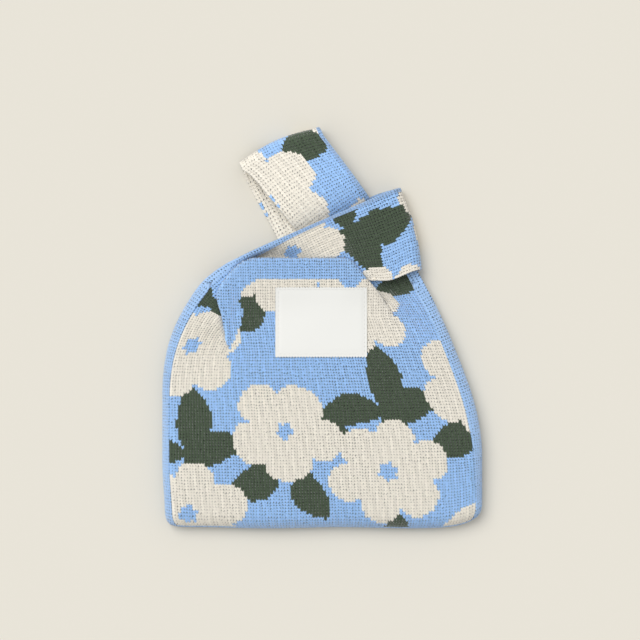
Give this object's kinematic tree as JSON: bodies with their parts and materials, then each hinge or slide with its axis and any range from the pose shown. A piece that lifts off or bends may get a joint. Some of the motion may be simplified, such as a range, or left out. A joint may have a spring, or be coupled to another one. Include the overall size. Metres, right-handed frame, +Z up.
{
  "type": "knitted knot handbag",
  "caption": "Flat-lying knitted pouch bag with a short and a long flat handle loop, the long loop passed through the short one, plain blue edge bands and a bare sewn-on label.",
  "frame": {"origin": "middle of the whole bag's footprint, on the surface that it lies on", "axes": "+Y from the pouch's bottom edge to the handles, +X to the right seen from the label side, +Z up out of the labelled front"},
  "size_m": [0.2274, 0.2816, 0.0251],
  "materials": {
    "patterned_knit": "matt jacquard knit",
    "plain_blue_knit": "matt plain knit",
    "label_cloth": "smooth satin weave",
    "label_thread": "sewing thread"
  },
  "bodies": {
    "root": {"front_panel": "patterned_knit", "back_panel": "patterned_knit", "left_side_band": "plain_blue_knit", "right_side_band": "plain_blue_knit", "bottom_seam": "plain_blue_knit", "back_mouth_hem": "plain_blue_knit", "short_handle_front": "patterned_knit", "short_handle_front_edge_band": "plain_blue_knit", "short_handle_back": "patterned_knit", "short_handle_back_edge_band": "plain_blue_knit", "short_handle_loop_end": "patterned_knit", "long_handle_front_root": "patterned_knit", "long_handle_front_root_edge_band": "plain_blue_knit", "long_handle_back_root": "patterned_knit", "long_handle_back_root_edge_band": "plain_blue_knit", "label": "label_cloth", "label_stitches_top": "label_thread", "label_stitches_left": "label_thread", "label_stitches_bottom": "label_thread", "label_stitches_right": "label_thread"},
    "long_loop": {"long_handle_front_loop": "patterned_knit", "long_handle_front_loop_edge_band": "plain_blue_knit", "long_handle_back_loop": "patterned_knit", "long_handle_back_loop_edge_band": "plain_blue_knit", "long_handle_loop_end": "patterned_knit"},
    "front_lip": {"front_mouth_hem": "plain_blue_knit"}
  },
  "joints": [
    {"name": "long_loop_lift", "type": "hinge", "parent": "root", "child": "long_loop", "pos_m": [0.00155, 0.08355, 0.0092], "axis": [0.9063, 0.4226, 0], "range_deg": [0, 110]},
    {"name": "front_lip_lift", "type": "hinge", "parent": "root", "child": "front_lip", "pos_m": [-0.0185, 0.0317, 0.0196], "axis": [1, 0, 0], "range_deg": [0, 40]}
  ]
}
